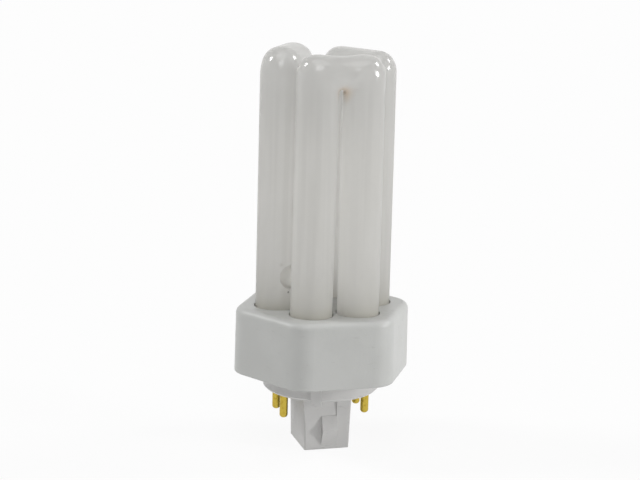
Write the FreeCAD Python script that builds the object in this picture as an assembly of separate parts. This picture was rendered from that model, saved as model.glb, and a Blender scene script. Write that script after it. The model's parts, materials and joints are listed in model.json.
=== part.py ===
import FreeCAD, Part
import math
import os

# Compact fluorescent plug-in lamp: three bridged U tubes of glass stand in a hexagonal
# holder, over a round collar, four contact pins and a tapered plug post.
# Millimetres. The lamp's axis is Z, its front faces -Y, and Z is zero at the foot of the post.

# Heights along the axis
overall_length = 116.84
post_length = 17.0
collar_height = 5.6
holder_height = 19.4

# Glass tubes
tube_dia = 12.0
tube_gap = 2.3
leg_gap_foot = 1.85
leg_gap_top = 1.25
bend_flattening_depth = 2.1
bend_run_in_length = 2.0
front_tube_drop = 1.0
rear_tube_drop = 1.2
leg_end_r = 2.5

# Bends: how round their corners are, and how deep the hollow in the middle of the front one is
left_bend_corner_r = 7.0
front_bend_corner_r = 5.2
rear_bend_corner_r = 5.5
front_bend_hollow_depth = 0.4

# Pinch seals at the two legs that hold an electrode
pinch_width = 9.0
pinch_thickness = 3.0
pinch_height = 4.5
lead_pair_width = 4.0

# Bridges that join the tubes near their lower ends
bridge_dia = 7.0
bridge_rise = 9.5
bridge_seat = 0.02

# Hexagonal holder
holder_margin_width = 5.1
holder_draft_width = 0.25
holder_corner_r = 7.8
holder_wall = 2.0
holder_roof = 2.2
holder_top_edge_r = 2.0
holder_foot_edge_r = 0.4
holder_ledge_width = 0.8
tube_hole_clearance = 0.4

# Cement rings round the legs, under the roof
cement_gap = 0.25
cement_height = 2.5
cement_seat = 0.05

# Base cap: lid, collar and plug post
lid_thickness = 1.8
lid_clearance = 0.15
collar_margin_width = 3.94
collar_flare_width = 0.5
collar_edge_width = 0.7
collar_wall = 1.6
collar_floor = 2.0
post_foot_width = 13.45
post_foot_depth = 16.2
post_top_width = 14.45
post_top_depth = 16.5
post_corner_r = 0.5
post_wall = 1.6
post_floor = 1.8

# Latch teeth, relief steps and key tab of the base cap
tooth_width = 4.6
tooth_rise = 2.1
tooth_foot_height = 1.05
tooth_ridge_height = 6.2
tooth_top_height = 10.05
relief_length = 9.0
relief_depth = 0.7
relief_edge_offset = 2.8
key_width = 3.0
key_rise = 1.3
key_drop = 0.8
key_angle = -110.0

# Contact pins
pin_dia = 2.4
pin_length = 7.7
pin_tip_r = 1.0
pin_shank_dia = 1.8
pin_pattern_width = 24.6
pin_pattern_depth = 8.8
pin_boss_dia = 3.8
pin_boss_height = 2.6
pin_stub_length = 0.8
pin_clearance = 0.03

# Lead wires and their sleeves
wire_dia = 0.6
wire_bend_r = 0.8
wire_room_height = 3.7
wire_lid_clearance = 0.9
sleeve_dia = 1.4
sleeve_clearance = 0.05
sleeve_end_gap = 0.1

# How far a cutting shape runs past what it cuts
cut_overrun_length = 1.0

# Worked out from the sizes above
tube_r = tube_dia / 2
leg_pitch = tube_dia + leg_gap_foot
tube_offset = (tube_dia + tube_gap + leg_pitch / 2) / math.sqrt(3)
bend_height = tube_dia - bend_flattening_depth
holder_across_flats = 2 * (tube_offset + tube_r + holder_margin_width)
pin_circle_r = math.hypot(pin_pattern_width, pin_pattern_depth) / 2
collar_foot_r = pin_circle_r + collar_margin_width
collar_top_r = collar_foot_r + collar_flare_width
cement_thickness = (leg_gap_foot - cement_gap) / 2
collar_z = post_length
holder_z = collar_z + collar_height
holder_top = holder_z + holder_height
roof_z = holder_top - holder_roof
lid_z = holder_z + holder_foot_edge_r
lid_top = lid_z + lid_thickness
pinch_foot_z = lid_top + wire_room_height
leg_foot_z = pinch_foot_z + pinch_height
cup_z = collar_z + collar_floor
pin_tip_z = collar_z - pin_length
pin_top_z = cup_z + pin_boss_height + pin_stub_length
UP = FreeCAD.Vector(0, 0, 1)
EPS = 0.01

# Angles between the bend's sections, and from its middle to where its hollow begins, in degrees
BEND_STEP_ANGLE = 10
BEND_MIDDLE_ANGLE = 30

# How much of a pinch seal's thickness its round edges take
PINCH_ROUNDING = 0.9

# Where each tube stands round the axis, in degrees
FRONT, REAR, LEFT = -90, 30, 150
TUBE_ANGLES = (FRONT, REAR, LEFT)


def at(x, y, z):
    """A point or a direction."""
    return FreeCAD.Vector(x, y, z)


def turned(shape, degrees):
    """A copy of the shape, turned about the lamp's axis."""
    copy = shape.copy()
    copy.rotate(at(0, 0, 0), UP, degrees)
    return copy


def moved(shape, x, y, z):
    """A copy of the shape, moved by x, y and z."""
    copy = shape.copy()
    copy.translate(at(x, y, z))
    return copy


def cylinder(diameter, z_low, z_high, x=0.0, y=0.0):
    """An upright cylinder between two heights."""
    return Part.makeCylinder(diameter / 2, z_high - z_low, at(x, y, z_low), UP)


def revolved(points):
    """A solid of revolution about Z from a closed outline of (radius, height) points."""
    outline = [at(radius, 0, height) for radius, height in points]
    face = Part.Face(Part.makePolygon(outline + outline[:1]))
    return face.revolve(at(0, 0, 0), UP, 360)


def joined(first, others):
    """One clean solid from pieces that are moulded or blown together."""
    return first.multiFuse(others).removeSplitter()


def polar(radius, degrees):
    """The plan position at a radius and an angle."""
    angle = math.radians(degrees)
    return radius * math.cos(angle), radius * math.sin(angle)


# Glass tubes

def bend_outline_reach(angle, half_width, height, corner_r):
    """Distance from the crotch to the outer outline of the bend, a rectangle with round corners."""
    corner = at(half_width - corner_r, 0, height - corner_r)
    ray = at(math.cos(angle), 0, math.sin(angle))
    to_side = half_width / max(ray.x, EPS)
    to_top = height / max(ray.z, EPS)
    reach = min(to_side, to_top)
    if ray.x * reach > corner.x and ray.z * reach > corner.z:
        along = ray.dot(corner)
        reach = along + math.sqrt(along ** 2 - corner.dot(corner) + corner_r ** 2)
    return reach


def oval_section(inner, half_tall, half_deep, degrees, z):
    """An oval ring that starts at a distance from the crotch line, turned about it from +X, at height z."""
    oval = FreeCAD.Matrix()
    oval.scale(half_tall, half_deep, 1)
    ring = Part.Wire(Part.Circle(at(0, 0, 0), UP, 1).toShape()).transformGeometry(oval)
    ring.translate(at(inner + half_tall, 0, 0))
    ring.rotate(at(0, 0, 0), at(0, 1, 0), -degrees)
    ring.translate(at(0, 0, z))
    return ring


def bend_section(degrees, crotch_z, corner_r, hollow_depth):
    """The bend's section in the plane through the crotch line at this angle."""
    inner = leg_gap_top / 2
    angle = math.radians(min(degrees, 180 - degrees))
    middle = max(0, 1 - ((90 - degrees) / BEND_MIDDLE_ANGLE) ** 2)
    outer = bend_outline_reach(angle, inner + tube_dia, inner + bend_height, corner_r)
    outer = outer - hollow_depth * middle
    half_deep = tube_r - hollow_depth * middle
    return oval_section(inner, (outer - inner) / 2, half_deep, degrees, crotch_z)


def leg_lean(z_top):
    """The angle, in degrees, at which the legs lean out on their way down from the bend."""
    return math.degrees(math.atan((leg_gap_foot - leg_gap_top) / 2 / (z_top - holder_top)))


def leg(side, z_top):
    """A straight leg on one side, from the bend down to its rounded closed foot."""
    lean = math.radians(leg_lean(z_top))
    reach = leg_gap_top / 2 + tube_r
    start = at(side * reach * math.cos(lean), 0, z_top + reach * math.sin(lean))
    length = (start.z - leg_foot_z) / math.cos(lean)
    body = Part.makeCylinder(tube_r, length, start, at(side * math.sin(lean), 0, -math.cos(lean)))
    foot = min(body.Edges, key=lambda edge: edge.CenterOfMass.z)
    return body.makeFillet(leg_end_r, [foot])


def pinch(x):
    """The flat seal below a leg, through which the electrode's two leads come out."""
    half = pinch_thickness / 2
    blank = Part.makeBox(pinch_width, pinch_thickness, pinch_height + leg_end_r,
                         at(x - pinch_width / 2, -half, pinch_foot_z))
    upright = [edge for edge in blank.Edges if abs(edge.tangentAt(edge.FirstParameter).z) > 1 - EPS]
    return blank.makeFillet(half * PINCH_ROUNDING, upright)


def u_tube(top, corner_r, hollow_depth=0.0, electrode_side=0):
    """A U tube with its legs along X; electrode_side is -1 or 1 for the leg with a pinch seal."""
    crotch_z = top - bend_height - leg_gap_top / 2
    leg_top = crotch_z - bend_run_in_length
    lean = leg_lean(leg_top)
    rings = [oval_section(leg_gap_top / 2, tube_r, tube_r, lean, leg_top)]
    for degrees in range(0, 181, BEND_STEP_ANGLE):
        rings.append(bend_section(degrees, crotch_z, corner_r, hollow_depth))
    rings += [oval_section(leg_gap_top / 2, tube_r, tube_r, 180 - lean, leg_top)]
    bend = Part.makeLoft(rings, True, False)
    pieces = [leg(-1, leg_top), leg(1, leg_top)]
    if electrode_side:
        pieces.append(pinch(electrode_side * leg_pitch / 2))
    return joined(bend, pieces)


def placed_tube(tube, degrees):
    """Put a U tube on its side of the hexagon, at this angle round the axis."""
    return turned(moved(tube, 0, -tube_offset, 0), degrees + 90)


def bridge(first, second):
    """A short glass neck between two legs that stand at these plan positions."""
    z = holder_top + bridge_rise
    start = at(first[0], first[1], z)
    run = at(second[0], second[1], z) - start
    neck = Part.makeCylinder(bridge_dia / 2, run.Length, start, run)
    for x, y in (first, second):
        neck = neck.cut(cylinder(tube_dia + 2 * bridge_seat, z - bridge_dia, z + bridge_dia, x, y))
    return neck


def leg_place(tube_degrees, side):
    """Plan position of one leg where it passes the holder's roof."""
    out_x, out_y = polar(tube_offset, tube_degrees)
    along_x, along_y = polar(side * leg_pitch / 2, tube_degrees + 90)
    return out_x + along_x, out_y + along_y


def leg_places():
    """Plan positions of all six legs, tube by tube."""
    return [leg_place(degrees, side) for degrees in TUBE_ANGLES for side in (-1, 1)]


def cement_ring(x, y):
    """A ring of cement round one leg, under the roof."""
    outer = cylinder(tube_dia + 2 * cement_thickness, roof_z - cement_height, roof_z, x, y)
    bore = cylinder(tube_dia + 2 * cement_seat, roof_z - cement_height, roof_z, x, y)
    return outer.cut(bore)


# Hexagonal holder

def rounded_hexagon(across_flats, corner_r, z):
    """A hexagon with round corners at 0, 60, 120 degrees and so on."""
    centre_reach = (across_flats / 2 - corner_r) / math.cos(math.radians(30))
    edges = []
    for side in range(6):
        corner = at(*polar(centre_reach, 60 * side), z)
        following = at(*polar(centre_reach, 60 * side + 60), z)
        first, middle, last = [corner + at(*polar(corner_r, 60 * side + turn), 0) for turn in (-30, 0, 30)]
        edges.append(Part.Arc(first, middle, last).toShape())
        edges.append(Part.LineSegment(last, following + at(*polar(corner_r, 60 * side + 30), 0)).toShape())
    return Part.Wire(edges)


def hexagonal_body(inset, z_low, z_high):
    """A drafted hexagonal block that lies inset inside the holder's outer faces."""
    rings = []
    for z in (z_low, z_high):
        spread = 2 * holder_draft_width * (holder_top - z) / holder_height
        across = holder_across_flats + spread - 2 * inset
        rings.append(rounded_hexagon(across, holder_corner_r + spread / 2 - inset, z))
    return Part.makeLoft(rings, True, True)


def rim_edges(shape, z):
    """The edges of a shape that lie flat at one height."""
    return [edge for edge in shape.Edges
            if abs(edge.BoundBox.ZMin - z) < EPS and abs(edge.BoundBox.ZMax - z) < EPS]


def tube_holder():
    """The moulded hexagonal housing: a hollow shell with six holes in its roof."""
    body = hexagonal_body(0, holder_z, holder_top)
    body = body.makeFillet(holder_top_edge_r, rim_edges(body, holder_top))
    body = body.makeFillet(holder_foot_edge_r, rim_edges(body, holder_z))
    mouth_z = holder_z - cut_overrun_length
    body = body.cut(hexagonal_body(holder_wall, mouth_z, lid_top))
    body = body.cut(hexagonal_body(holder_wall + holder_ledge_width, mouth_z, roof_z))
    hole_dia = tube_dia + 2 * tube_hole_clearance
    for x, y in leg_places():
        body = body.cut(cylinder(hole_dia, roof_z - cut_overrun_length, holder_top + cut_overrun_length, x, y))
    return body


# Base cap

def rounded_rectangle(width, depth, corner_r, z):
    """A rectangle with round corners, centred on the axis."""
    plate = Part.makePlane(width, depth, at(-width / 2, -depth / 2, z), UP)
    return plate.makeOffset2D(-corner_r, 0).makeOffset2D(corner_r, 0).Wires[0]


def post_body(inset, z_low, z_high):
    """The tapered post, or the space inside its walls."""
    rings = []
    for z in (z_low, z_high):
        share = z / post_length
        width = post_foot_width + (post_top_width - post_foot_width) * share - 2 * inset
        depth = post_foot_depth + (post_top_depth - post_foot_depth) * share - 2 * inset
        rings.append(rounded_rectangle(width, depth, post_corner_r, z))
    return Part.makeLoft(rings, True, True)


def face_depth(z):
    """How far the post's front face lies from the axis at one height."""
    return (post_foot_depth + (post_top_depth - post_foot_depth) * z / post_length) / 2


def latch_tooth():
    """The front latch tooth: a ridge along X that slopes up and down to the post's face, with flat ends."""
    back = -face_depth(0) + post_wall / 2
    ridge_y = -face_depth(tooth_ridge_height) - tooth_rise
    outline = [at(0, back, tooth_foot_height), at(0, -face_depth(tooth_foot_height), tooth_foot_height),
               at(0, ridge_y, tooth_ridge_height), at(0, -face_depth(tooth_top_height), tooth_top_height),
               at(0, back, tooth_top_height)]
    side = Part.Face(Part.makePolygon(outline + outline[:1]))
    return moved(side.extrude(at(tooth_width, 0, 0)), relief_edge_offset - tooth_width, 0, 0)


def relief_step():
    """The space cut from the post's face on one side of the step: deepest at the collar, fading downwards."""
    z_low = collar_z - relief_length
    y_low = -face_depth(z_low)
    y_high = -face_depth(collar_z)
    outline = [at(0, y_low - relief_depth, z_low), at(0, y_low, z_low), at(0, y_high + relief_depth, collar_z),
               at(0, y_high - relief_depth, collar_z)]
    side = Part.Face(Part.makePolygon(outline + outline[:1]))
    return moved(side.extrude(at(post_top_width, 0, 0)), relief_edge_offset - post_top_width, 0, 0)


def key_tab():
    """The small key on the collar's rim, which hangs a little below it."""
    length = key_rise + collar_wall
    block = Part.makeBox(length, key_width, collar_height + key_drop,
                         at(collar_foot_r + key_rise - length, -key_width / 2, collar_z - key_drop))
    return turned(block, key_angle)


def pin_places():
    """Plan positions of the four pins: rear left, front left, front right, rear right."""
    x = pin_pattern_width / 2
    y = pin_pattern_depth / 2
    return [(-x, y), (-x, -y), (x, -y), (x, y)]


def base_cap():
    """The moulded base: a lid inside the holder, the collar, the post and its latch teeth."""
    collar = revolved([(0, collar_z), (collar_foot_r - collar_edge_width, collar_z),
                       (collar_foot_r, collar_z + collar_edge_width), (collar_top_r, holder_z),
                       (collar_top_r, lid_z), (0, lid_z)])
    lid = hexagonal_body(holder_wall + lid_clearance, lid_z, lid_top)
    body = joined(collar, [lid, post_body(0, 0, collar_z), key_tab()])
    for turn in (0, 180):
        body = body.cut(turned(relief_step(), turn))
        body = body.fuse(turned(latch_tooth(), turn))
    body = body.cut(cylinder(2 * (collar_foot_r - collar_wall), cup_z, lid_top + cut_overrun_length))
    body = body.cut(post_body(post_wall, post_floor, cup_z + cut_overrun_length))
    bosses = [cylinder(pin_boss_dia, collar_z, cup_z + pin_boss_height, x, y) for x, y in pin_places()]
    body = joined(body, bosses)
    hole_dia = pin_shank_dia + 2 * pin_clearance
    for x, y in pin_places():
        body = body.cut(cylinder(hole_dia, collar_z - cut_overrun_length, pin_top_z, x, y))
    return body


def contact_pin(x, y):
    """A turned pin with a rounded tip, whose thinner shank is pressed through the collar's floor."""
    body = cylinder(pin_dia, pin_tip_z, collar_z, x, y)
    body = body.makeFillet(pin_tip_r, rim_edges(body, pin_tip_z))
    return body.fuse(cylinder(pin_shank_dia, collar_z, pin_top_z, x, y))


# Lead wires

def lead_starts():
    """Where the leads leave the two pinch seals, in the order of the pins that they go to."""
    starts = []
    for tube_degrees, side in ((FRONT, 1), (REAR, -1)):
        x, y = leg_place(tube_degrees, side)
        along_x, along_y = polar(lead_pair_width / 2, tube_degrees + 90)
        starts.append((x + along_x, y + along_y))
        starts.append((x - along_x, y - along_y))
    return starts


def lead_levels():
    """The heights at which the leads cross over the lid, far enough apart to pass each other."""
    low = lid_top + wire_lid_clearance
    high = pinch_foot_z - wire_bend_r - sleeve_end_gap
    return [low, (low + high) / 2, high, low]


def along_lead(start, end, distance, z):
    """A point at a distance from the lead's start towards its pin, at one height."""
    direction = at(end[0] - start[0], end[1] - start[1], 0).normalize()
    return at(start[0], start[1], z) + direction * distance


def lead_wire(start, end, level):
    """A wire from the pinch seal down to its level, across, and down onto its pin."""
    span = math.hypot(end[0] - start[0], end[1] - start[1])
    bend = wire_bend_r
    short = bend * (1 - math.cos(math.radians(45)))
    top = along_lead(start, end, 0, pinch_foot_z)
    turn_in = [along_lead(start, end, 0, level + bend),
               along_lead(start, end, short, level + short),
               along_lead(start, end, bend, level)]
    turn_out = [along_lead(start, end, span - bend, level),
                along_lead(start, end, span - short, level - short),
                along_lead(start, end, span, level - bend)]
    foot = along_lead(start, end, span, pin_top_z)
    path = Part.Wire([Part.LineSegment(top, turn_in[0]).toShape(), Part.Arc(*turn_in).toShape(),
                      Part.LineSegment(turn_in[2], turn_out[0]).toShape(), Part.Arc(*turn_out).toShape(),
                      Part.LineSegment(turn_out[2], foot).toShape()])
    section = Part.Wire(Part.Circle(top, UP, wire_dia / 2).toShape())
    return path.makePipeShell([section], True, False)


def wire_sleeve(start, end, level):
    """An insulating sleeve over the straight stretch of a wire."""
    span = math.hypot(end[0] - start[0], end[1] - start[1])
    first = along_lead(start, end, wire_bend_r + sleeve_end_gap, level)
    last = along_lead(start, end, span - wire_bend_r - sleeve_end_gap, level)
    run = last - first
    outer = Part.makeCylinder(sleeve_dia / 2, run.Length, first, run)
    bore = Part.makeCylinder(wire_dia / 2 + sleeve_clearance, run.Length, first, run)
    return outer.cut(bore)


def lamp():
    """Every piece of the lamp, by name."""
    pieces = {
        "u_tube_left": placed_tube(u_tube(overall_length, left_bend_corner_r), LEFT),
        "u_tube_front": placed_tube(
            u_tube(overall_length - front_tube_drop, front_bend_corner_r, front_bend_hollow_depth, 1), FRONT),
        "u_tube_rear": placed_tube(
            u_tube(overall_length - rear_tube_drop, rear_bend_corner_r, electrode_side=-1), REAR),
        "glass_bridge_front": bridge(leg_place(LEFT, 1), leg_place(FRONT, -1)),
        "glass_bridge_rear": bridge(leg_place(LEFT, -1), leg_place(REAR, 1)),
        "tube_holder": tube_holder(),
        "base_cap": base_cap(),
    }
    for number, place in enumerate(leg_places(), 1):
        pieces["cement_ring_%d" % number] = cement_ring(*place)
    leads = zip(lead_starts(), pin_places(), lead_levels())
    for number, (start, end, level) in enumerate(leads, 1):
        pieces["contact_pin_%d" % number] = contact_pin(*end)
        pieces["lead_wire_%d" % number] = lead_wire(start, end, level)
        pieces["wire_sleeve_%d" % number] = wire_sleeve(start, end, level)
    return pieces


os.makedirs("parts", exist_ok=True)
for name, shape in lamp().items():
    solid = shape.Solids[0] if len(shape.Solids) == 1 else shape
    solid.exportStep("parts/%s.step" % name)
    print("%-20s solids %d valid %s volume %8.1f mm3" % (name, len(shape.Solids), shape.isValid(), shape.Volume))
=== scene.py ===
"""The looks of a plug-in compact fluorescent lamp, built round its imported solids."""

from __future__ import annotations

import json
import logging
import math
from abc import ABC, abstractmethod
from collections.abc import Mapping, Sequence
from dataclasses import dataclass, field
from enum import Enum
from typing import Any

import bmesh
import bpy
from mathutils import Matrix, Vector

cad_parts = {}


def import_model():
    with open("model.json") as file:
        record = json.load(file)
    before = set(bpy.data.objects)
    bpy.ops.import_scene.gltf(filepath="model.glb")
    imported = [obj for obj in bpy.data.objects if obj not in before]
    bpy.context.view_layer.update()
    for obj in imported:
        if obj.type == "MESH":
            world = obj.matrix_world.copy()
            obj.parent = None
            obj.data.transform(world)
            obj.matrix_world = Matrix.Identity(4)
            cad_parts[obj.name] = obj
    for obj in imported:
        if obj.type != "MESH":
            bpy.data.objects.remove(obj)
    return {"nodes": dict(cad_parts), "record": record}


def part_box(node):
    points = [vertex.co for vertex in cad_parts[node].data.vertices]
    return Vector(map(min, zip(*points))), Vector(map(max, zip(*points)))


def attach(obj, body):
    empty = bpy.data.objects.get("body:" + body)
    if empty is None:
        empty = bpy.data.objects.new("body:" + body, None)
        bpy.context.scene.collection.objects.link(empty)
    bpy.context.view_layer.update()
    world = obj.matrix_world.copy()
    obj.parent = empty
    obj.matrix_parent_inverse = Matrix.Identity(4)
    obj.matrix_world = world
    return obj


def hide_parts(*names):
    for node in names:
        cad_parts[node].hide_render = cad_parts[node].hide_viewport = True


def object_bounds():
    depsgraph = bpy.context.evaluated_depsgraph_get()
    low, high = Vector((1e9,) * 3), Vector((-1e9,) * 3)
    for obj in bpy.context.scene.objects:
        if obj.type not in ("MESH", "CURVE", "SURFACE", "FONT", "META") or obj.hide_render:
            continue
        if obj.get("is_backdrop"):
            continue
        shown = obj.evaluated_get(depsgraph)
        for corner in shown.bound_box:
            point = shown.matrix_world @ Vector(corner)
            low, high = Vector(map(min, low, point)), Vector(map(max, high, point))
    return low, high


LOG = logging.getLogger("lamp")
MM = 0.001

TINY = 1e-6
FULL_TURN = 2.0 * math.pi

Colour = tuple[float, float, float]
Place = tuple[float, float, float]
Span = tuple[float, float]
EVEN: Place = (1.0, 1.0, 1.0)


# Shader building


class Signal:
    """A shader value whose operators add Math nodes to its graph."""

    def __init__(self, graph: Graph, socket: bpy.types.NodeSocket) -> None:
        """Wrap one output socket.

        Args:
            graph: The graph that the socket belongs to.
            socket: The output socket.
        """
        self.graph = graph
        self.socket = socket

    def _math(self, operation: str, first: Signal | float, second: Signal | float) -> Signal:
        """Add a Math node.

        Args:
            operation: The node's operation.
            first: Its first value.
            second: Its second value.

        Returns:
            The node's result.
        """
        return self.graph.value("ShaderNodeMath", {"operation": operation}, {0: first, 1: second})

    def __add__(self, other: Signal | float) -> Signal:
        """The sum of this value and another."""
        return self._math("ADD", self, other)

    def __radd__(self, other: float) -> Signal:
        """The sum of a number and this value."""
        return self._math("ADD", other, self)

    def __sub__(self, other: Signal | float) -> Signal:
        """This value less another."""
        return self._math("SUBTRACT", self, other)

    def __rsub__(self, other: float) -> Signal:
        """A number less this value."""
        return self._math("SUBTRACT", other, self)

    def __mul__(self, other: Signal | float) -> Signal:
        """The product of this value and another."""
        return self._math("MULTIPLY", self, other)

    def __rmul__(self, other: float) -> Signal:
        """The product of a number and this value."""
        return self._math("MULTIPLY", other, self)

    def rise(self, low: float, high: float) -> Signal:
        """A smooth step of this value.

        Args:
            low: Where the step starts, with a result of 0.
            high: Where it ends, with a result of 1.

        Returns:
            The step, between 0 and 1. With high under low it falls instead.
        """
        return self.graph.value(
            "ShaderNodeMapRange",
            {"interpolation_type": "SMOOTHSTEP"},
            {"Value": self, "From Min": low, "From Max": high},
        )

    def between(self, low: float, high: float) -> Signal:
        """This value with its run from 0 to 1 made a run from low to high."""
        return low + (high - low) * self


class Graph:
    """The node tree of one material or of the world."""

    def __init__(self, tree: bpy.types.NodeTree) -> None:
        """Start an empty tree.

        Args:
            tree: The tree, whose nodes are removed.
        """
        tree.nodes.clear()
        self.tree = tree

    def node(
        self,
        kind: str,
        settings: Mapping[str, Any] | None = None,
        sockets: Mapping[str | int, Any] | None = None,
    ) -> bpy.types.Node:
        """Add a node of any type.

        Args:
            kind: The node's type.
            settings: Its own settings, such as a Math node's operation, which are set first.
            sockets: Values or links for its input sockets, by name or number.

        Returns:
            The node.
        """
        made = self.tree.nodes.new(kind)
        for name, setting in (settings or {}).items():
            setattr(made, name, setting)
        for name, given in (sockets or {}).items():
            if isinstance(given, Signal):
                self.tree.links.new(given.socket, made.inputs[name])
            else:
                made.inputs[name].default_value = given
        return made

    def value(
        self,
        kind: str,
        settings: Mapping[str, Any] | None = None,
        sockets: Mapping[str | int, Any] | None = None,
        output: str | int = 0,
    ) -> Signal:
        """Add a node of any type and take one of its outputs.

        Args:
            kind: The node's type.
            settings: Its own settings.
            sockets: Values or links for its input sockets.
            output: The output's name or number.

        Returns:
            That output.
        """
        return Signal(self, self.node(kind, settings, sockets).outputs[output])

    def place(self) -> Signal:
        """The place on the object, in metres, in the lamp's own frame."""
        return self.value("ShaderNodeTexCoord", output="Object")

    def axis(self, vector: Signal, name: str) -> Signal:
        """One axis of a vector, named X, Y or Z."""
        return self.value("ShaderNodeSeparateXYZ", None, {"Vector": vector}, name)

    def wave(self, turns: Signal) -> Signal:
        """A smooth wave between 0 and 1, which repeats with every whole turn."""
        sine = self.value("ShaderNodeMath", {"operation": "SINE"}, {0: turns * FULL_TURN})
        return 0.5 + 0.5 * sine

    def blend(
        self, share: Signal | float, first: Signal | Colour, second: Signal | Colour
    ) -> Signal:
        """A mix of two colours.

        Args:
            share: How much of the second colour there is, from 0 to 1.
            first: The first colour.
            second: The second colour.

        Returns:
            The mixed colour.
        """
        ends = [end if isinstance(end, Signal) else (*end, 1.0) for end in (first, second)]
        sockets = {0: share, 6: ends[0], 7: ends[1]}
        return self.value("ShaderNodeMix", {"data_type": "RGBA"}, sockets, 2)

    def bump(self, height: Signal, depth: float) -> Signal:
        """A normal for a surface in relief.

        Args:
            height: The relief, from 0 to 1.
            depth: What a height of 1 stands for, in metres.

        Returns:
            The normal.
        """
        relief = {"Strength": 1.0, "Distance": depth, "Height": height}
        return self.value("ShaderNodeBump", None, relief, "Normal")


# Finishes


class Slot(Enum):
    """The record's material slots."""

    GLASS = "tube_glass"
    HOLDER = "holder_plastic"
    BASE = "base_plastic"
    BRASS = "pin_brass"
    WIRE = "lead_wire"
    SLEEVE = "sleeve"
    CEMENT = "cement"


@dataclass(frozen=True)
class Finish(ABC):
    """A finish that makes its own material."""

    def material(self, name: str) -> bpy.types.Material:
        """Make the material.

        Args:
            name: The material's name.

        Returns:
            The material.
        """
        made = bpy.data.materials.new(name)
        made.use_nodes = True
        graph = Graph(made.node_tree)
        surface = self.surface(graph)
        graph.node("ShaderNodeOutputMaterial", None, {"Surface": surface})
        return made

    @abstractmethod
    def surface(self, graph: Graph) -> Signal:
        """Build the surface's shader in a graph and return it."""


@dataclass(frozen=True)
class Pattern:
    """Soft noise over the object.

    Attributes:
        grain: The size of its blotches, in metres.
        layers: How many finer layers it has.
        stretch: How much longer the blotches are along X, Y and Z.
        band: Where a smooth step over the noise starts and ends, if it has one.
        roughness: How strong the finer layers are.
    """

    grain: float
    layers: float = 2.0
    stretch: Place = EVEN
    band: Span | None = None
    roughness: float = 0.5

    def on(self, graph: Graph) -> Signal:
        """Draw the pattern.

        Args:
            graph: The graph that it is drawn in.

        Returns:
            The noise, around 0.5, or a smooth step over its band where it has one.
        """
        scale = tuple(1.0 / (self.grain * share) for share in self.stretch)
        factors = {0: graph.place(), 1: scale}
        spread = graph.value("ShaderNodeVectorMath", {"operation": "MULTIPLY"}, factors)
        layers = {"Scale": 1.0, "Detail": self.layers, "Roughness": self.roughness}
        noise = graph.value("ShaderNodeTexNoise", None, {"Vector": spread, **layers}, "Fac")
        return noise.rise(*self.band) if self.band else noise


class LightRays:
    """The kinds of rays that a surface may tell apart."""

    @staticmethod
    def kind(graph: Graph, name: str) -> Signal:
        """One output of the Light Path node, by its name."""
        return graph.value("ShaderNodeLightPath", output=name)

    @classmethod
    def scattered(cls, graph: Graph) -> Signal:
        """1 for light that has left a matt surface, and 0 for what is seen directly."""
        return cls.kind(graph, "Diffuse Depth").rise(0.0, 1.0)

    @classmethod
    def seen(cls, graph: Graph) -> Signal:
        """1 for the camera's rays and those in reflections and glass, and 0 for the rest."""
        kinds = [cls.kind(graph, f"Is {name} Ray") for name in ("Camera", "Glossy", "Transmission")]
        return (kinds[0] + kinds[1] + kinds[2]).rise(0.0, 1.0) * (1 - cls.scattered(graph))


@dataclass(frozen=True)
class Mark:
    """A small stain, weld trace or painted shadow on the glass; its edge's grain is a share of its
    radius.
    """

    centre: Place
    radius: float
    colour: Colour
    strength: float
    edge_grain: float = 0.8
    edge_span: Span = (0.7, 1.3)

    def share(self, graph: Graph) -> Signal:
        """How strongly the mark covers each place.

        Args:
            graph: The graph.

        Returns:
            Its share, from 0 to 1, with a ragged edge.
        """
        apart = {0: graph.place(), 1: self.centre}
        reach = graph.value("ShaderNodeVectorMath", {"operation": "DISTANCE"}, apart, "Value")
        edge = Pattern(self.radius * self.edge_grain).on(graph).between(*self.edge_span)
        return (reach * edge).rise(self.radius, 0.0) * self.strength


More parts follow.
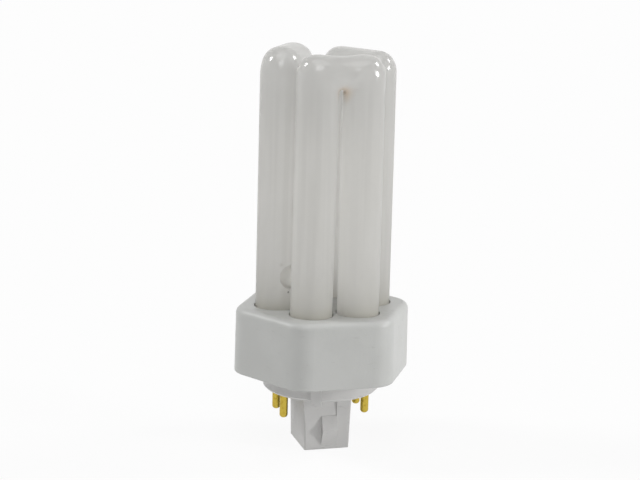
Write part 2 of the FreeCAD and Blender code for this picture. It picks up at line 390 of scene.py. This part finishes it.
@dataclass(frozen=True)
class CoatedGlass(Finish):
    """Glossy glass over a white powder coat: cloudy, with lengthwise streaks that are partly
    painted reflections, yellower with painted contact shade at its foot, painted darker towards its
    top, and glowing through.
    """

    coat: Colour = (0.80, 0.795, 0.78)
    thin_coat: Colour = (0.735, 0.73, 0.71)
    clouds: Pattern = Pattern(9.0 * MM, 3.0, (1.0, 1.0, 2.6), (0.38, 0.66))
    # Lengthwise darker streaks in the coat colour: drawn-glass lines that are also painted
    # reflection streaks.
    drawn_line_and_streak: Colour = (0.64, 0.635, 0.62)
    lines: Pattern = Pattern(1.8 * MM, 1.0, (1.0, 1.0, 40.0), (0.40, 0.66))
    line_and_streak_share: float = 0.85
    # Painted shade: the coat turns darker and glows less towards the top of the tubes.
    painted_top_shade: Colour = (0.45, 0.45, 0.44)
    top_shade_span: Span = (84.0 * MM, 117.0 * MM)
    foot: float = 42.0 * MM
    # An olive tone over the lowest 15 mm of the tubes.
    foot_olive_tone: Colour = (0.78, 0.77, 0.69)
    olive_tone_rise: float = 15.0 * MM
    olive_tone_blotches: Pattern = Pattern(5.0 * MM)
    olive_tone_span: Span = (0.35, 0.95)
    # Yellow tint with painted contact shade in the lowest few millimetres, where the tubes stand in
    # the holder's roof.
    foot_tint_and_shade: Colour = (0.76, 0.73, 0.61)
    tint_and_shade_rise: float = 4.5 * MM
    tint_and_shade_blotches: Pattern = Pattern(4.0 * MM)
    tint_and_shade_span: Span = (0.6, 1.2)
    roughness: float = 0.14
    smears: Pattern = Pattern(2.5 * MM, 3.0, band=(0.45, 0.7))
    smear_roughness: float = 0.05
    ripples: Pattern = Pattern(7.0 * MM, 1.0, (1.0, 1.0, 3.0))
    ripple_depth: float = 0.08 * MM
    ior: float = 1.5
    shine: float = 0.9
    film: float = 1.0
    glow: Colour = (0.865, 0.86, 0.845)
    glow_share: float = 0.70
    tint_and_shade_glow_loss: float = 0.12
    top_shade_glow_loss: float = 0.22
    marks: tuple[Mark, ...] = ()

    def _olive_tone(self, graph: Graph, height: Signal) -> Signal:
        """How strongly the coat turns olive near the holder, from its height."""
        ragged = self.olive_tone_blotches.on(graph).between(*self.olive_tone_span)
        return height.rise(self.foot + self.olive_tone_rise, self.foot) * ragged

    def _tint_and_shade(self, graph: Graph, height: Signal) -> Signal:
        """How strongly the coat's foot is tinted yellow and painted darker as contact shade, from
        its height.
        """
        ragged = self.tint_and_shade_blotches.on(graph).between(*self.tint_and_shade_span)
        return height.rise(self.foot + self.tint_and_shade_rise, self.foot - MM) * ragged

    def _gloss(self, graph: Graph, colour: Signal) -> Signal:
        """The glossy white surface, smeared and a little uneven.

        Args:
            graph: The graph.
            colour: The coat's colour.

        Returns:
            Its shader.
        """
        sockets = {
            "Base Color": colour,
            "Roughness": self.roughness + self.smear_roughness * self.smears.on(graph),
            "IOR": self.ior,
            "Specular IOR Level": self.shine,
            "Coat Weight": self.film,
            "Coat Roughness": self.roughness,
            "Normal": graph.bump(self.ripples.on(graph), self.ripple_depth),
        }
        return graph.value("ShaderNodeBsdfPrincipled", None, sockets)

    def surface(self, graph: Graph) -> Signal:
        """Build the coat's colour with its lines, marks and painted shade, the gloss, and the light
        through it.
        """
        height = graph.axis(graph.place(), "Z")
        far, tint_and_shade = height.rise(*self.top_shade_span), self._tint_and_shade(graph, height)
        colour = graph.blend(self.clouds.on(graph), self.thin_coat, self.coat)
        # Drawn lines and painted reflection streaks.
        colour = graph.blend(self.lines.on(graph) * self.line_and_streak_share, colour, self.drawn_line_and_streak)
        # Painted shade: a darker coat towards the top.
        colour = graph.blend(far, colour, self.painted_top_shade)
        colour = graph.blend(self._olive_tone(graph, height), colour, self.foot_olive_tone)
        # Yellow tint and painted contact shade at the foot.
        colour = graph.blend(tint_and_shade, colour, self.foot_tint_and_shade)
        # The glow through the coat is cut near the foot and near the top as painted shade.
        passed = self.glow_share * (1 - self.tint_and_shade_glow_loss * tint_and_shade) * (1 - self.top_shade_glow_loss * far)
        for mark in self.marks:
            share = mark.share(graph)
            colour = graph.blend(share, colour, mark.colour)
            passed = passed * (1 - share)
        gloss = self._gloss(graph, colour)
        glow = graph.value("ShaderNodeBsdfTranslucent", None, {"Color": (*self.glow, 1.0)})
        return graph.value("ShaderNodeMixShader", None, {0: passed, 1: gloss, 2: glow})


@dataclass(frozen=True)
class BrightenedWeldGlass(CoatedGlass):
    """The same glass where a neck was blown and welded: duller, and painted whiter to lift the
    shade between the tubes.
    """

    # Painted light: the coat and glow are made whiter to lift the shade in the pocket between the
    # tubes.
    coat: Colour = (0.92, 0.915, 0.90)
    thin_coat: Colour = (0.92, 0.915, 0.90)
    roughness: float = 0.8
    shine: float = 0.1
    film: float = 0.0
    glow: Colour = (0.96, 0.955, 0.94)
    glow_share: float = 0.8


@dataclass(frozen=True)
class MouldedPlastic(Finish):
    """Satin white moulding with a fine grain, faint flow clouds and light scuffs."""

    colour: Colour = (0.53, 0.535, 0.52)
    cloud: Colour = (0.505, 0.51, 0.495)
    scuff: Colour = (0.45, 0.45, 0.435)
    roughness: float = 0.36
    clouds: Pattern = Pattern(11.0 * MM, 3.0, band=(0.35, 0.7))
    scuffs: Pattern = Pattern(3.2 * MM, 5.0, (1.0, 1.0, 0.35), (0.60, 0.74), 0.65)
    scuff_share: float = 0.55
    scuff_roughness: float = 0.10
    grain: Pattern = Pattern(0.35 * MM)
    waves: Pattern = Pattern(2.6 * MM, 1.0)
    wave_share: float = 2.0
    relief_depth: float = 0.03 * MM
    ior: float = 1.47

    def surface(self, graph: Graph) -> Signal:
        """Build the plastic's clouds, scuffs and grain."""
        scuffs = self.scuffs.on(graph)
        colour = graph.blend(self.clouds.on(graph), self.colour, self.cloud)
        colour = graph.blend(scuffs * self.scuff_share, colour, self.scuff)
        relief = self.grain.on(graph) + self.wave_share * self.waves.on(graph)
        sockets = {
            "Base Color": colour,
            "Roughness": self.roughness + self.scuff_roughness * scuffs,
            "IOR": self.ior,
            "Normal": graph.bump(relief, self.relief_depth),
        }
        return graph.value("ShaderNodeBsdfPrincipled", None, sockets)


@dataclass(frozen=True)
class TurnedBrass(Finish):
    """Bright turned brass with fine rings and a little tarnish."""

    bright: Colour = (0.56, 0.42, 0.07)
    tarnish: Colour = (0.36, 0.23, 0.03)
    stain: Pattern = Pattern(1.1 * MM, 4.0, band=(0.46, 0.70))
    stain_share: float = 0.5
    ring_pitch: float = 0.16 * MM
    ring_depth: float = 0.004 * MM
    roughness: float = 0.24
    stain_roughness: float = 0.16

    def surface(self, graph: Graph) -> Signal:
        """Build the tarnish and the turning rings."""
        rings = graph.wave(graph.axis(graph.place(), "Z") * (1 / self.ring_pitch))
        stain = self.stain.on(graph)
        sockets = {
            "Base Color": graph.blend(stain * self.stain_share, self.bright, self.tarnish),
            "Metallic": 1.0,
            "Roughness": self.roughness + self.stain_roughness * stain,
            "Normal": graph.bump(rings, self.ring_depth),
        }
        return graph.value("ShaderNodeBsdfPrincipled", None, sockets)


@dataclass(frozen=True)
class DrawnWire(Finish):
    """Drawn nickel-iron wire with faint lengthwise lines."""

    metal: Colour = (0.60, 0.58, 0.55)
    oxide: Colour = (0.36, 0.34, 0.31)
    blotches: Pattern = Pattern(1.6 * MM, 3.0, band=(0.45, 0.72))
    lines: Pattern = Pattern(0.12 * MM, stretch=(1.0, 1.0, 6.0))
    line_depth: float = 0.006 * MM
    roughness: float = 0.32
    oxide_roughness: float = 0.2

    def surface(self, graph: Graph) -> Signal:
        """Build the wire's oxide and draw lines."""
        blotches = self.blotches.on(graph)
        sockets = {
            "Base Color": graph.blend(blotches, self.metal, self.oxide),
            "Metallic": 1.0,
            "Roughness": self.roughness + self.oxide_roughness * blotches,
            "Normal": graph.bump(self.lines.on(graph), self.line_depth),
        }
        return graph.value("ShaderNodeBsdfPrincipled", None, sockets)


@dataclass(frozen=True)
class WovenSleeve(Finish):
    """Glass-fibre sleeving with a fine crossed weave."""

    thread: Colour = (0.66, 0.64, 0.57)
    gap: Colour = (0.42, 0.40, 0.34)
    thread_pitch: float = 0.30 * MM
    lay: float = 2.0
    weave_depth: float = 0.05 * MM
    roughness: float = 0.82

    def surface(self, graph: Graph) -> Signal:
        """Build the weave from two crossed sets of threads."""
        place = graph.place()
        along = graph.axis(place, "X") + graph.axis(place, "Y")
        across = graph.axis(place, "Z") * self.lay - graph.axis(place, "X")
        waves = [graph.wave(run * (1 / self.thread_pitch)) for run in (along, across)]
        weave = 0.5 * (waves[0] + waves[1])
        sockets = {
            "Base Color": graph.blend(weave, self.gap, self.thread),
            "Roughness": self.roughness,
            "Normal": graph.bump(weave, self.weave_depth),
        }
        return graph.value("ShaderNodeBsdfPrincipled", None, sockets)


@dataclass(frozen=True)
class SetCement(Finish):
    """Set lamp cement: chalky, grainy and slightly yellow."""

    pale: Colour = (0.56, 0.53, 0.44)
    dark: Colour = (0.40, 0.36, 0.27)
    sand: Pattern = Pattern(0.8 * MM, 5.0, roughness=0.7)
    sand_band: Span = (0.35, 0.65)
    sand_depth: float = 0.12 * MM
    roughness: float = 0.9

    def surface(self, graph: Graph) -> Signal:
        """Build the cement's grain."""
        sand = self.sand.on(graph)
        sockets = {
            "Base Color": graph.blend(sand.rise(*self.sand_band), self.dark, self.pale),
            "Roughness": self.roughness,
            "Normal": graph.bump(sand, self.sand_depth),
        }
        return graph.value("ShaderNodeBsdfPrincipled", None, sockets)


@dataclass(frozen=True)
class PaleFloor(Finish):
    """A plain pale floor that shows white to the camera and keeps the shadow."""

    colour: Colour = (0.90, 0.90, 0.90)
    shown_white: float = 0.90

    def surface(self, graph: Graph) -> Signal:
        """Build the floor: matt, with white mixed in for what the camera and reflections see."""
        matt = graph.value("ShaderNodeBsdfDiffuse", None, {"Color": (*self.colour, 1.0)})
        white = graph.value("ShaderNodeEmission", None, {"Strength": 1.0})
        share = LightRays.seen(graph) * self.shown_white
        return graph.value("ShaderNodeMixShader", None, {0: share, 1: matt, 2: white})


# Mesh building


class RingMesh:
    """A smooth mesh that is lofted through rings of points."""

    def __init__(self, name: str) -> None:
        """Start an empty mesh for a piece of this name."""
        self.name = name
        self.mesh = bmesh.new()

    def loft(self, rings: Sequence[Sequence[Vector]]) -> None:
        """Add a closed skin through rings that all have the same number of points.

        Args:
            rings: The rings, in order.
        """
        rows = [[self.mesh.verts.new(point) for point in ring] for ring in rings]
        for low, high in zip(rows, rows[1:]):
            for index in range(len(low)):
                after = (index + 1) % len(low)
                self.mesh.faces.new((low[index], low[after], high[after], high[index]))
        self._fan(rows[0][::-1])
        self._fan(rows[-1])

    def _fan(self, row: Sequence[bmesh.types.BMVert]) -> None:
        """Close one ring with triangles round its middle."""
        middle = sum((vert.co for vert in row), Vector()) / len(row)
        hub = self.mesh.verts.new(middle)
        for index in range(len(row)):
            self.mesh.faces.new((row[index], row[(index + 1) % len(row)], hub))

    def finish(self, turn: Matrix | None = None) -> bpy.types.Object:
        """Make the object.

        Args:
            turn: A matrix that places the mesh in the lamp's frame.

        Returns:
            The object, linked to the scene, at the origin and shaded smooth.
        """
        if turn is not None:
            self.mesh.transform(turn)
        bmesh.ops.recalc_face_normals(self.mesh, faces=self.mesh.faces)
        data = bpy.data.meshes.new(self.name)
        self.mesh.to_mesh(data)
        self.mesh.free()
        data.shade_smooth()
        made = bpy.data.objects.new(self.name, data)
        bpy.context.scene.collection.objects.link(made)
        return made


def dress(piece: bpy.types.Object, finish: Finish, node: str) -> None:
    """Give a piece its finish and its place in the frame.

    Args:
        piece: The piece.
        finish: Its finish.
        node: The solid that the piece stands for.
    """
    piece.data.materials.clear()
    piece.data.materials.append(finish.material(f"{piece.name}_finish"))
    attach(piece, "root")
    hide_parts(node)
    LOG.info("%s: %d faces, %s", piece.name, len(piece.data.polygons), type(finish).__name__)


# Glass


class Side(Enum):
    """The sides of the lamp on which a U tube stands, as angles round the axis in degrees."""

    FRONT = -90.0
    REAR = 30.0
    LEFT = 150.0

    @property
    def node(self) -> str:
        """The name of the solid that stands there."""
        return f"u_tube_{self.name.lower()}"


@dataclass(frozen=True)
class TubeForm:
    """The sizes that the three U tubes share."""

    diameter: float = 12.0 * MM
    gap_at_foot: float = 1.85 * MM
    gap_at_top: float = 1.25 * MM
    bend_height: float = 9.9 * MM
    foot_round: float = 2.5 * MM
    middle_angle: float = 30.0
    bend_step: int = 3
    leg_steps: int = 16
    foot_steps: int = 6
    segments: int = 80

    @property
    def radius(self) -> float:
        """Half the diameter."""
        return self.diameter / 2

    @property
    def half_pitch_at_foot(self) -> float:
        """From the middle of a U tube to a leg's axis, at the holder."""
        return (self.diameter + self.gap_at_foot) / 2

    @property
    def half_pitch_at_top(self) -> float:
        """From the middle of a U tube to a leg's axis, at the bend."""
        return (self.diameter + self.gap_at_top) / 2

    @property
    def turns(self) -> list[float]:
        """The angles of a ring's points, in radians."""
        return [FULL_TURN * index / self.segments for index in range(self.segments)]

    def outline_reach(self, angle: float, corner: float) -> float:
        """The distance from the crotch to the outside of the bend.

        Args:
            angle: The direction, in radians above the side.
            corner: How round the bend's corners are.

        Returns:
            The distance to a rectangle with round corners.
        """
        half_width = self.gap_at_top / 2 + self.diameter
        height = self.gap_at_top / 2 + self.bend_height
        across, upward = math.cos(angle), math.sin(angle)
        reach = min(half_width / max(across, TINY), height / max(upward, TINY))
        corner_x, corner_z = half_width - corner, height - corner
        if across * reach > corner_x and upward * reach > corner_z:
            along = across * corner_x + upward * corner_z
            reach = along + math.sqrt(along**2 - corner_x**2 - corner_z**2 + corner**2)
        return reach


@dataclass
class UTube:
    """One blown U tube of glass with a white coat inside."""

    side: Side
    finish: CoatedGlass
    holder_top: float
    corner: float
    hollow: float = 0.0
    electrode_side: int = 0
    form: TubeForm = field(default_factory=TubeForm)
    pinch_width: float = 9.0 * MM
    pinch_thickness: float = 3.0 * MM
    pinch_height: float = 4.5 * MM
    offset: float = field(init=False)
    top: float = field(init=False)
    foot: float = field(init=False)
    crotch: float = field(init=False)

    def __post_init__(self) -> None:
        """Read the tube's heights off its solid, and its distance from the axis off the front's."""
        low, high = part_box(self.side.node)
        front_low, front_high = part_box(Side.FRONT.node)
        self.offset = -(front_low.y + front_high.y) / 2
        self.top = high.z
        self.foot = low.z + (self.pinch_height if self.electrode_side else 0.0)
        self.crotch = self.top - self.form.bend_height - self.form.gap_at_top / 2

    def _oval(
        self, inner: float, half_tall: float, half_deep: float, degrees: float
    ) -> list[Vector]:
        """A ring of the bend, in the plane through the crotch line.

        Args:
            inner: How far from the crotch line the ring starts.
            half_tall: Half its size away from that line.
            half_deep: Half its size along that line.
            degrees: The plane's angle above the side.

        Returns:
            The ring's points.
        """
        angle = math.radians(degrees)
        outward = Vector((math.cos(angle), 0.0, math.sin(angle)))
        centre = outward * (inner + half_tall) + Vector((0.0, 0.0, self.crotch))
        return [
            centre
            + outward * half_tall * math.cos(turn)
            + Vector((0.0, half_deep * math.sin(turn), 0.0))
            for turn in self.form.turns
        ]

    def _bend_ring(self, degrees: float) -> list[Vector]:
        """The bend's ring at an angle, flattened, and drawn in where its middle is hollow.

        Args:
            degrees: The ring's angle above the side.

        Returns:
            The ring's points.
        """
        inner = self.form.gap_at_top / 2
        angle = math.radians(min(degrees, 180 - degrees))
        drawn_in = self.hollow * max(0.0, 1 - ((90 - degrees) / self.form.middle_angle) ** 2)
        outer = self.form.outline_reach(angle, self.corner) - drawn_in
        return self._oval(inner, (outer - inner) / 2, self.form.radius - drawn_in, degrees)

    def _leg_ring(self, side: int, height: float, inset: float) -> list[Vector]:
        """A level ring of a leg.

        Args:
            side: -1 or 1.
            height: The ring's height.
            inset: How much smaller than the leg its radius is.

        Returns:
            The ring's points, in the order of the bend's rings.
        """
        form = self.form
        share = (height - self.holder_top) / (self.crotch - self.holder_top)
        pitch = form.half_pitch_at_foot + (form.half_pitch_at_top - form.half_pitch_at_foot) * share
        radius = form.radius - inset
        return [
            Vector((side * (pitch + radius * math.cos(turn)), radius * math.sin(turn), height))
            for turn in form.turns
        ]

    def _leg(self, side: int) -> list[list[Vector]]:
        """A leg's rings, from its rounded foot up to the bend.

        Args:
            side: -1 or 1.

        Returns:
            The rings.
        """
        form = self.form
        rings = []
        for step in range(form.foot_steps):
            angle = math.pi / 2 * step / form.foot_steps
            height = self.foot + form.foot_round * (1 - math.cos(angle))
            rings.append(self._leg_ring(side, height, form.foot_round * (1 - math.sin(angle))))
        low = self.foot + form.foot_round
        for step in range(form.leg_steps):
            height = low + (self.crotch - low) * step / form.leg_steps
            rings.append(self._leg_ring(side, height, 0.0))
        return rings

    def _pinch(self, skin: RingMesh) -> None:
        """Add the flat seal below the electrode's leg."""
        middle = self.electrode_side * self.form.half_pitch_at_foot
        half_thick = self.pinch_thickness / 2
        half_run = self.pinch_width / 2 - half_thick
        outline = []
        for turn in self.form.turns:
            corner = middle + math.copysign(half_run, math.cos(turn))
            outline.append((corner + half_thick * math.cos(turn), half_thick * math.sin(turn)))
        heights = (self.foot - self.pinch_height, self.foot, self.foot + self.form.foot_round)
        skin.loft([[Vector((*spot, height)) for spot in outline] for height in heights])

    def build(self) -> None:
        """Build the U as one skin, with the seal of an electrode's leg."""
        skin = RingMesh(f"glass_{self.side.node}")
        bend = [self._bend_ring(degrees) for degrees in range(0, 181, self.form.bend_step)]
        skin.loft([*self._leg(1), *bend, *reversed(self._leg(-1))])
        if self.electrode_side:
            self._pinch(skin)
        turned = Matrix.Rotation(math.radians(self.side.value + 90), 4, "Z")
        tube = skin.finish(turned @ Matrix.Translation((0, -self.offset, 0)))
        dress(tube, self.finish, self.side.node)


@dataclass
class GlassBridge:
    """A short blown neck between two legs, flared where it is welded to them."""

    node: str
    first: Vector
    second: Vector
    finish: CoatedGlass
    form: TubeForm = field(default_factory=TubeForm)
    flare: float = 0.9 * MM
    seat: float = 0.03 * MM
    steps: int = 18

    def build(self) -> None:
        """Build the neck, saddled on both legs."""
        low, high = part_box(self.node)
        radius = (high.z - low.z) / 2
        middle = (self.first + self.second) / 2
        middle.z = (high.z + low.z) / 2
        run = (self.second - self.first).normalized()
        across = Vector((-run.y, run.x, 0.0))
        half_pitch = (self.second - self.first).length / 2
        rings = []
        for step in range(self.steps + 1):
            share = -math.cos(math.pi * step / self.steps)
            spread = radius - self.flare * math.sqrt(1 - share**2)
            ring = []
            for turn in self.form.turns:
                aside = spread * math.cos(turn)
                upward = Vector((0.0, 0.0, spread * math.sin(turn)))
                half_gap = half_pitch - math.sqrt(self.form.radius**2 - aside**2) + self.seat
                ring.append(middle + run * share * half_gap + across * aside + upward)
            rings.append(ring)
        skin = RingMesh(f"neck_{self.node}")
        skin.loft(rings)
        dress(skin.finish(), self.finish, self.node)


@dataclass
class GlassVessel:
    """The three U tubes and the two necks that join them."""

    form: TubeForm = field(default_factory=TubeForm)
    left_corner: float = 7.0 * MM
    front_corner: float = 5.2 * MM
    rear_corner: float = 5.5 * MM
    front_hollow: float = 0.4 * MM
    scorch: tuple[Mark, ...] = (
        Mark((0.4 * MM, -14.0 * MM, 106.3 * MM), 4.9 * MM, (0.90, 0.70, 0.50), 0.75),
        Mark((0.8 * MM, -13.2 * MM, 106.1 * MM), 1.5 * MM, (0.30, 0.19, 0.09), 0.9),
    )
    weld_traces_and_shadow: tuple[Mark, ...] = (
        Mark((-14.35 * MM, -5.87 * MM, 55.3 * MM), 1.0 * MM, (0.50, 0.50, 0.45), 0.4),
        Mark((-11.52 * MM, -5.30 * MM, 54.3 * MM), 0.9 * MM, (0.42, 0.42, 0.36), 0.6),
        Mark((-12.69 * MM, -5.71 * MM, 53.6 * MM), 1.3 * MM, (1.0, 0.99, 0.97), 0.8),
        # Painted shadow: a grey smudge under the front neck, where shade falls between the tubes.
        Mark((-12.48 * MM, -5.65 * MM, 49.0 * MM), 0.8 * MM, (0.45, 0.45, 0.38), 0.25),
        Mark((-11.99 * MM, -5.50 * MM, 47.1 * MM), 0.5 * MM, (0.08, 0.08, 0.05), 0.95),
    )

    def leg_place(self, side: Side, leg: int, offset: float) -> Vector:
        """Where a leg passes the holder's roof.

        Args:
            side: The tube's side.
            leg: -1 or 1, the leg.
            offset: How far the tube stands from the axis.

        Returns:
            The leg's axis, in plan.
        """
        angle = math.radians(side.value)
        outward = Vector((math.cos(angle), math.sin(angle), 0.0))
        along = Vector((-math.sin(angle), math.cos(angle), 0.0))
        return outward * offset + along * leg * self.form.half_pitch_at_foot

    def build(self) -> None:
        """Build the tubes and the necks."""
        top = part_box("tube_holder")[1].z
        plain = CoatedGlass(foot=top)
        welded = BrightenedWeldGlass(foot=top)
        scorched = CoatedGlass(foot=top, marks=self.scorch)
        traced_and_shaded = CoatedGlass(foot=top, marks=self.weld_traces_and_shadow)
        corner, hollow = self.front_corner, self.front_hollow
        tubes = [
            UTube(Side.LEFT, traced_and_shaded, top, self.left_corner, form=self.form),
            UTube(Side.FRONT, scorched, top, corner, hollow, electrode_side=1, form=self.form),
            UTube(Side.REAR, plain, top, self.rear_corner, electrode_side=-1, form=self.form),
        ]
        offset = tubes[0].offset
        front_neck = [self.leg_place(Side.LEFT, 1, offset), self.leg_place(Side.FRONT, -1, offset)]
        rear_neck = [self.leg_place(Side.LEFT, -1, offset), self.leg_place(Side.REAR, 1, offset)]
        necks = [
            GlassBridge("glass_bridge_front", *front_neck, welded, self.form),
            GlassBridge("glass_bridge_rear", *rear_neck, welded, self.form),
        ]
        for piece in (*tubes, *necks):
            piece.build()


# Carried solids


@dataclass
class CarriedSolids:
    """The solids whose own mesh shows, each with the finish of its slot."""

    nodes: Mapping[str, bpy.types.Object]
    record: Mapping[str, Any]
    finishes: Mapping[Slot, Finish] = field(
        default_factory=lambda: {
            Slot.HOLDER: MouldedPlastic(),
            Slot.BASE: MouldedPlastic((0.605, 0.60, 0.59), (0.58, 0.575, 0.565), roughness=0.40),
            Slot.BRASS: TurnedBrass(),
            Slot.WIRE: DrawnWire(),
            Slot.SLEEVE: WovenSleeve(),
            Slot.CEMENT: SetCement(),
        }
    )

    def build(self) -> None:
        """Dress every solid that no other piece stands for."""
        materials = {slot: finish.material(slot.value) for slot, finish in self.finishes.items()}
        for part in self.record["subparts"]:
            solid = self.nodes[part["node"]]
            if solid.hide_render:
                continue
            solid.data.materials.clear()
            solid.data.materials.append(materials[Slot(part["material_slot"])])
            LOG.info("%s: carried, %s", part["node"], part["material_slot"])


# Studio


def bearing(azimuth: float, elevation: float) -> Vector:
    """The direction from the lamp to something that stands round it.

    Args:
        azimuth: Degrees round from the front, to the right.
        elevation: Degrees above the horizon.

    Returns:
        The direction, with a length of 1.
    """
    turn, rise = math.radians(azimuth), math.radians(elevation)
    reach = math.cos(rise)
    return Vector((math.sin(turn) * reach, -math.cos(turn) * reach, math.sin(rise)))


@dataclass(frozen=True)
class SoftLight:
    """An even light from one side; level is how bright it makes a white card that faces it."""

    name: str
    azimuth: float
    elevation: float
    spread: float
    level: float

    def build(self) -> None:
        """Set up the light."""
        data = bpy.data.lights.new(self.name, "SUN")
        data.angle = math.radians(self.spread)
        data.energy = self.level * math.pi
        light = bpy.data.objects.new(self.name, data)
        bpy.context.scene.collection.objects.link(light)
        facing = bearing(self.azimuth, self.elevation).to_track_quat("Z", "Y")
        light.rotation_euler = facing.to_euler()


@dataclass
class PhotoCamera:
    """The camera, placed and aimed as the photograph was taken."""

    aim: Vector = field(default_factory=lambda: Vector((0.0, 0.0, 58.0 * MM)))
    azimuth: float = -16.0
    elevation: float = 12.48
    roll: float = -1.565
    distance: float = 500.7 * MM
    focal_px: float = 1726.1
    aim_px: tuple[float, float] = (324.42, 249.54)
    frame_px: tuple[float, float] = (640.0, 480.0)
    sensor: float = 36.0
    clip_span: Span = (0.02, 50.0)

    def build(self) -> None:
        """Make the scene's camera."""
        width, height = self.frame_px
        data = bpy.data.cameras.new("photo_camera")
        data.sensor_width = self.sensor
        data.lens = self.focal_px / width * self.sensor
        data.shift_x = (width / 2 - self.aim_px[0]) / width
        data.shift_y = (self.aim_px[1] - height / 2) / width
        data.clip_start, data.clip_end = self.clip_span
        camera = bpy.data.objects.new("photo_camera", data)
        bpy.context.scene.collection.objects.link(camera)
        roll = math.radians(self.roll)
        back = bearing(self.azimuth, self.elevation)
        level = (-back).cross(Vector((0.0, 0.0, 1.0))).normalized()
        upright = level.cross(-back)
        right = level * math.cos(roll) - upright * math.sin(roll)
        up = level * math.sin(roll) + upright * math.cos(roll)
        facing = Matrix((right, up, back)).transposed().to_4x4()
        camera.matrix_world = Matrix.Translation(self.aim + back * self.distance) @ facing
        bpy.context.scene.camera = camera


@dataclass
class Studio:
    """The floor, the lights and the white surroundings."""

    floor_half: float = 6.0
    fill: float = 0.16
    lights: tuple[SoftLight, ...] = (
        SoftLight("key_light", 60.0, 11.0, 15.0, 0.38),
        SoftLight("right_light", 92.0, 37.0, 15.0, 0.21),
        SoftLight("left_light", -111.0, 41.0, 15.0, 0.32),
        SoftLight("front_light", -16.0, 42.0, 30.0, 0.18),
        SoftLight("top_light", -16.0, 80.0, 50.0, 0.23),
    )

    def _floor(self) -> None:
        """Lay the floor."""
        mesh = bmesh.new()
        sides = ((-1, -1), (1, -1), (1, 1), (-1, 1))
        corners = [(x * self.floor_half, y * self.floor_half, 0.0) for x, y in sides]
        mesh.faces.new([mesh.verts.new(corner) for corner in corners])
        data = bpy.data.meshes.new("floor")
        mesh.to_mesh(data)
        mesh.free()
        floor = bpy.data.objects.new("floor", data)
        bpy.context.scene.collection.objects.link(floor)
        data.materials.append(PaleFloor().material("floor_finish"))
        floor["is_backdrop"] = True

    def _world(self) -> None:
        """Surround the scene with white that lights it more softly than it shows."""
        world = bpy.data.worlds.new("surroundings")
        world.use_nodes = True
        bpy.context.scene.world = world
        graph = Graph(world.node_tree)
        strength = self.fill + (1.0 - self.fill) * LightRays.seen(graph)
        shown = {"Color": (1.0, 1.0, 1.0, 1.0), "Strength": strength}
        white = graph.value("ShaderNodeBackground", None, shown)
        graph.node("ShaderNodeOutputWorld", None, {"Surface": white})

    def build(self) -> None:
        """Set up the floor, the world, the lights and the view transform."""
        self._floor()
        self._world()
        for light in self.lights:
            light.build()
        bpy.context.scene.view_settings.view_transform = "Standard"


def main() -> None:
    """Build the whole scene round the frame."""
    logging.basicConfig(level=logging.INFO, format="%(name)s: %(message)s")
    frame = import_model()
    solid_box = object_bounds()
    GlassVessel().build()
    CarriedSolids(frame["nodes"], frame["record"]).build()
    Studio().build()
    PhotoCamera().build()
    shown_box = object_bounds()
    boxes = {"solids": solid_box, "shown": shown_box}
    boxes = {name: [list(corner) for corner in box] for name, box in boxes.items()}


if __name__ == "__main__":
    main()
